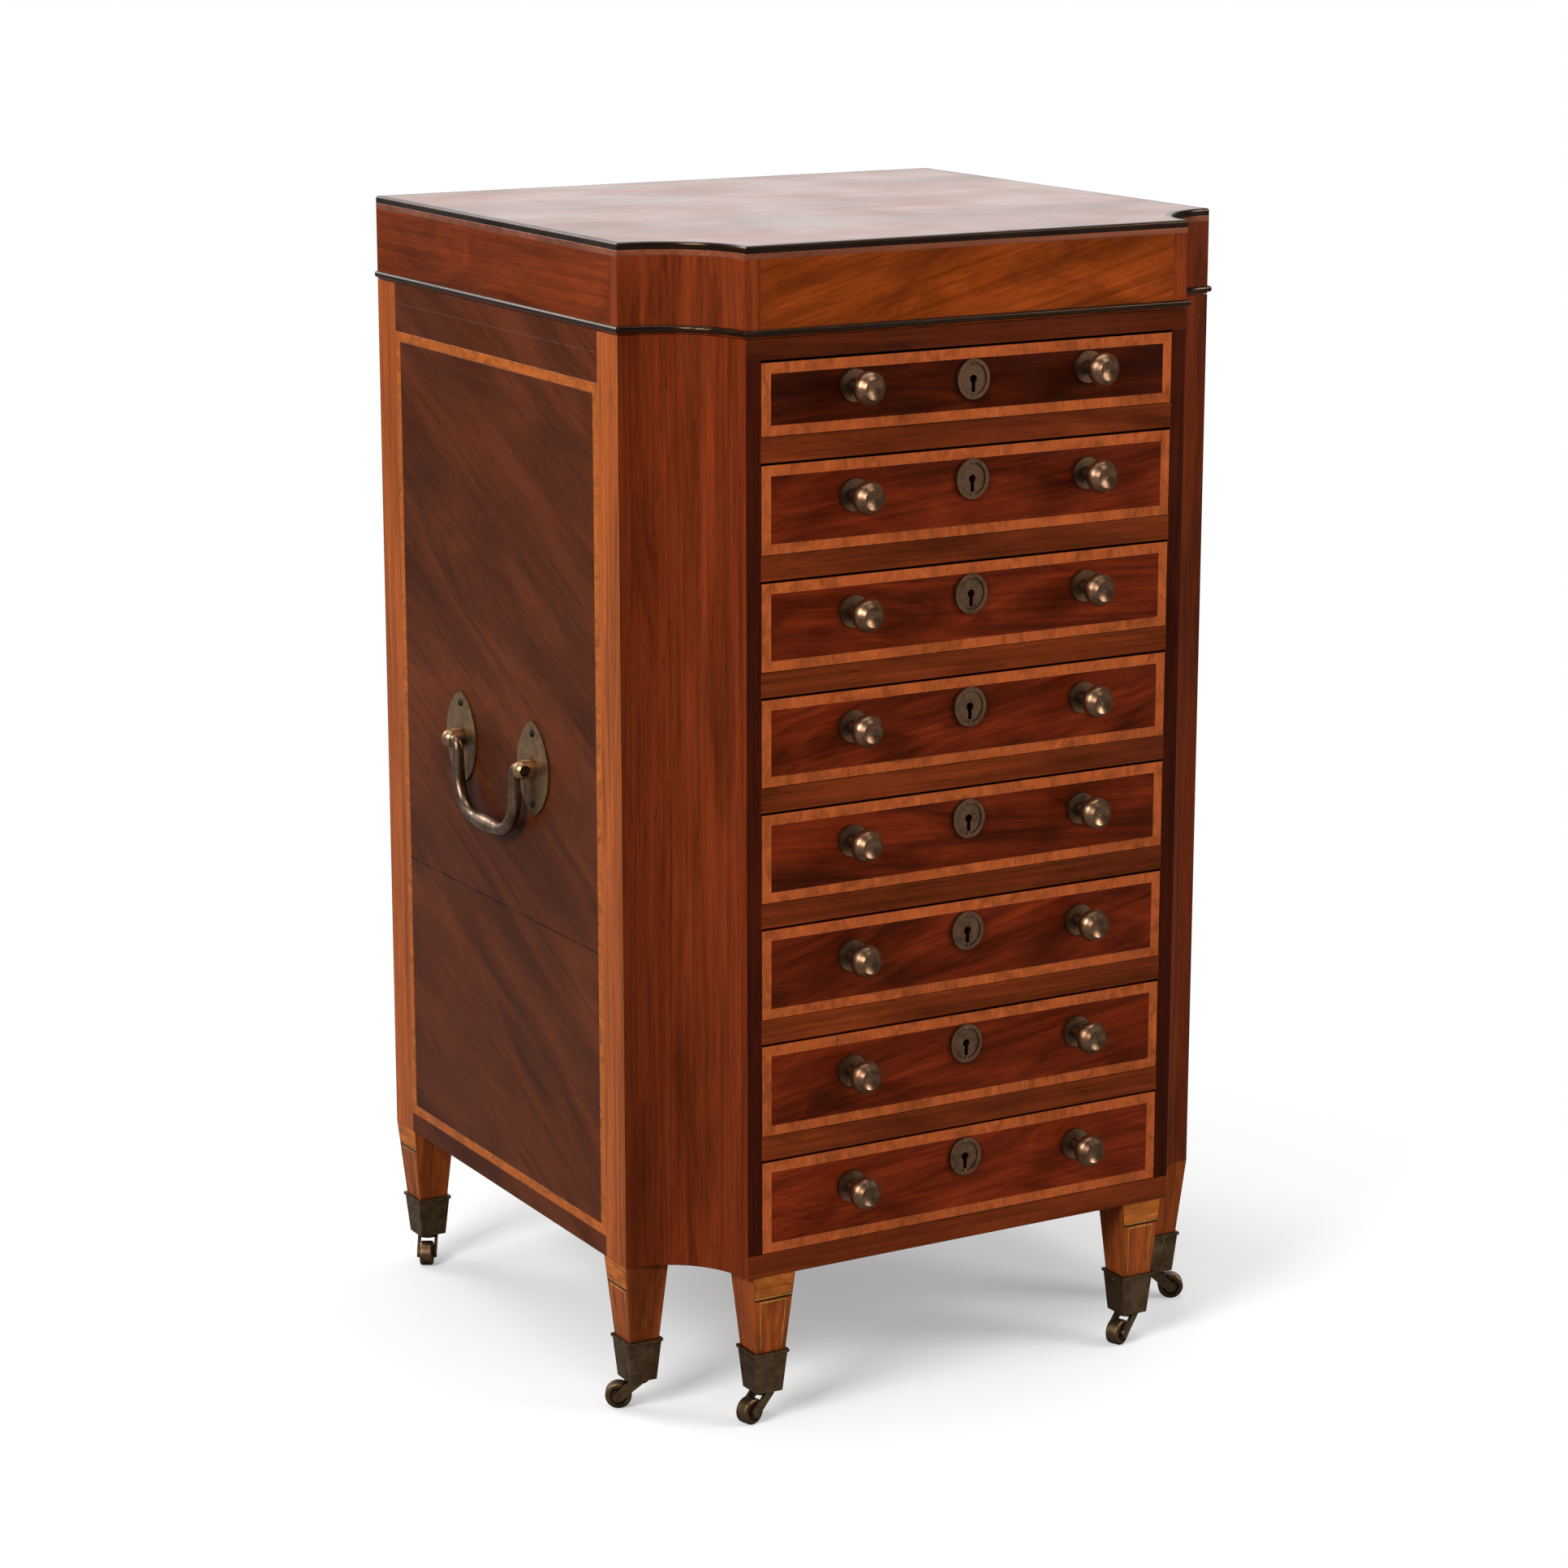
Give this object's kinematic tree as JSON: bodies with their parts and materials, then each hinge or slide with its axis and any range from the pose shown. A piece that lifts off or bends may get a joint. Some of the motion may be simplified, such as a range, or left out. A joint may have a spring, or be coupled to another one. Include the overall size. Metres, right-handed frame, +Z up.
{
  "type": "collectors cabinet",
  "caption": "Mahogany collectors cabinet with graduated drawers, coved front corners, a hinged lid, brass carrying handles and tapered legs on brass casters.",
  "frame": {"origin": "on the floor, under the centre of the box round the whole cabinet", "axes": "+X to the right as seen from the drawers, +Y to the back, +Z up"},
  "size_m": [0.458, 0.431, 0.7411],
  "materials": {
    "mahogany": "french polished",
    "satinwood": "french polished",
    "oak": "waxed",
    "ebony": "french polished",
    "brass": "aged"
  },
  "bodies": {
    "carcass": {"base_board": "mahogany", "top_board": "mahogany", "left_side_panel": "mahogany", "right_side_panel": "mahogany", "back_panel": "oak", "left_coved_post": "mahogany", "right_coved_post": "mahogany", "drawer_cheeks": "oak", "drawer_rails": "mahogany", "drawer_runners": "oak", "side_inlays": "satinwood", "legs": "mahogany", "caster_caps": "brass", "handle_plates": "brass", "handle_screws": "brass", "hinge_lower_leaves": "brass"},
    "lid": {"lid_panel": "mahogany", "lid_rails": "mahogany", "lid_coved_corners": "mahogany", "lid_bead": "ebony", "lid_edging": "ebony", "hinge_upper_leaves": "brass"},
    "left_handle": {"left_bail": "brass"},
    "right_handle": {"right_bail": "brass"},
    "drawer_1": {"drawer_1_front": "mahogany", "drawer_1_box": "oak", "drawer_1_brasses": "brass"},
    "drawer_2": {"drawer_2_front": "mahogany", "drawer_2_box": "oak", "drawer_2_brasses": "brass"},
    "drawer_3": {"drawer_3_front": "mahogany", "drawer_3_box": "oak", "drawer_3_brasses": "brass"},
    "drawer_4": {"drawer_4_front": "mahogany", "drawer_4_box": "oak", "drawer_4_brasses": "brass"},
    "drawer_5": {"drawer_5_front": "mahogany", "drawer_5_box": "oak", "drawer_5_brasses": "brass"},
    "drawer_6": {"drawer_6_front": "mahogany", "drawer_6_box": "oak", "drawer_6_brasses": "brass"},
    "drawer_7": {"drawer_7_front": "mahogany", "drawer_7_box": "oak", "drawer_7_brasses": "brass"},
    "drawer_8": {"drawer_8_front": "mahogany", "drawer_8_box": "oak", "drawer_8_brasses": "brass"},
    "rear_left_caster": {"rear_left_caster_fork": "brass"},
    "rear_left_wheel": {"rear_left_caster_wheel": "brass"},
    "rear_right_caster": {"rear_right_caster_fork": "brass"},
    "rear_right_wheel": {"rear_right_caster_wheel": "brass"},
    "side_left_caster": {"side_left_caster_fork": "brass"},
    "side_left_wheel": {"side_left_caster_wheel": "brass"},
    "side_right_caster": {"side_right_caster_fork": "brass"},
    "side_right_wheel": {"side_right_caster_wheel": "brass"},
    "front_left_caster": {"front_left_caster_fork": "brass"},
    "front_left_wheel": {"front_left_caster_wheel": "brass"},
    "front_right_caster": {"front_right_caster_fork": "brass"},
    "front_right_wheel": {"front_right_caster_wheel": "brass"}
  },
  "joints": [
    {"name": "lid_hinge", "type": "hinge", "parent": "carcass", "child": "lid", "pos_m": [0, 0.2125, 0.6863], "axis": [-1, 0, 0], "range_deg": [0, 95]},
    {"name": "drawer_1_slide", "type": "slide", "parent": "carcass", "child": "drawer_1", "axis": [0, -1, 0], "range_m": [0, 0.3]},
    {"name": "drawer_2_slide", "type": "slide", "parent": "carcass", "child": "drawer_2", "axis": [0, -1, 0], "range_m": [0, 0.3]},
    {"name": "drawer_3_slide", "type": "slide", "parent": "carcass", "child": "drawer_3", "axis": [0, -1, 0], "range_m": [0, 0.3]},
    {"name": "drawer_4_slide", "type": "slide", "parent": "carcass", "child": "drawer_4", "axis": [0, -1, 0], "range_m": [0, 0.3]},
    {"name": "drawer_5_slide", "type": "slide", "parent": "carcass", "child": "drawer_5", "axis": [0, -1, 0], "range_m": [0, 0.3]},
    {"name": "drawer_6_slide", "type": "slide", "parent": "carcass", "child": "drawer_6", "axis": [0, -1, 0], "range_m": [0, 0.3]},
    {"name": "drawer_7_slide", "type": "slide", "parent": "carcass", "child": "drawer_7", "axis": [0, -1, 0], "range_m": [0, 0.3]},
    {"name": "drawer_8_slide", "type": "slide", "parent": "carcass", "child": "drawer_8", "axis": [0, -1, 0], "range_m": [0, 0.3]},
    {"name": "left_bail_swing", "type": "hinge", "parent": "carcass", "child": "left_handle", "pos_m": [-0.223, 0.0375, 0.398], "axis": [0, 1, 0], "range_deg": [0, 165]},
    {"name": "right_bail_swing", "type": "hinge", "parent": "carcass", "child": "right_handle", "pos_m": [0.223, 0.0375, 0.398], "axis": [0, -1, 0], "range_deg": [0, 165]},
    {"name": "rear_left_swivel", "type": "hinge", "parent": "carcass", "child": "rear_left_caster", "pos_m": [-0.199, 0.1945, 0.02], "axis": [0, 0, 1], "continuous": true},
    {"name": "rear_left_roll", "type": "hinge", "parent": "rear_left_caster", "child": "rear_left_wheel", "pos_m": [-0.205, 0.18411, 0.0085], "axis": [-0.866, 0.5, 0], "continuous": true},
    {"name": "rear_right_swivel", "type": "hinge", "parent": "carcass", "child": "rear_right_caster", "pos_m": [0.199, 0.1945, 0.02], "axis": [0, 0, 1], "continuous": true},
    {"name": "rear_right_roll", "type": "hinge", "parent": "rear_right_caster", "child": "rear_right_wheel", "pos_m": [0.205, 0.20489, 0.0085], "axis": [0.866, -0.5, 0], "continuous": true},
    {"name": "side_left_swivel", "type": "hinge", "parent": "carcass", "child": "side_left_caster", "pos_m": [-0.199, -0.1195, 0.02], "axis": [0, 0, 1], "continuous": true},
    {"name": "side_left_roll", "type": "hinge", "parent": "side_left_caster", "child": "side_left_wheel", "pos_m": [-0.20939, -0.1135, 0.0085], "axis": [0.5, 0.866, 0], "continuous": true},
    {"name": "side_right_swivel", "type": "hinge", "parent": "carcass", "child": "side_right_caster", "pos_m": [0.199, -0.1195, 0.02], "axis": [0, 0, 1], "continuous": true},
    {"name": "side_right_roll", "type": "hinge", "parent": "side_right_caster", "child": "side_right_wheel", "pos_m": [0.20939, -0.1255, 0.0085], "axis": [-0.5, -0.866, 0], "continuous": true},
    {"name": "front_left_swivel", "type": "hinge", "parent": "carcass", "child": "front_left_caster", "pos_m": [-0.139, -0.1755, 0.02], "axis": [0, 0, 1], "continuous": true},
    {"name": "front_left_roll", "type": "hinge", "parent": "front_left_caster", "child": "front_left_wheel", "pos_m": [-0.15048, -0.17901, 0.0085], "axis": [-0.2924, 0.9563, 0], "continuous": true},
    {"name": "front_right_swivel", "type": "hinge", "parent": "carcass", "child": "front_right_caster", "pos_m": [0.139, -0.1755, 0.02], "axis": [0, 0, 1], "continuous": true},
    {"name": "front_right_roll", "type": "hinge", "parent": "front_right_caster", "child": "front_right_wheel", "pos_m": [0.12812, -0.18057, 0.0085], "axis": [-0.4226, 0.9063, 0], "continuous": true}
  ]
}
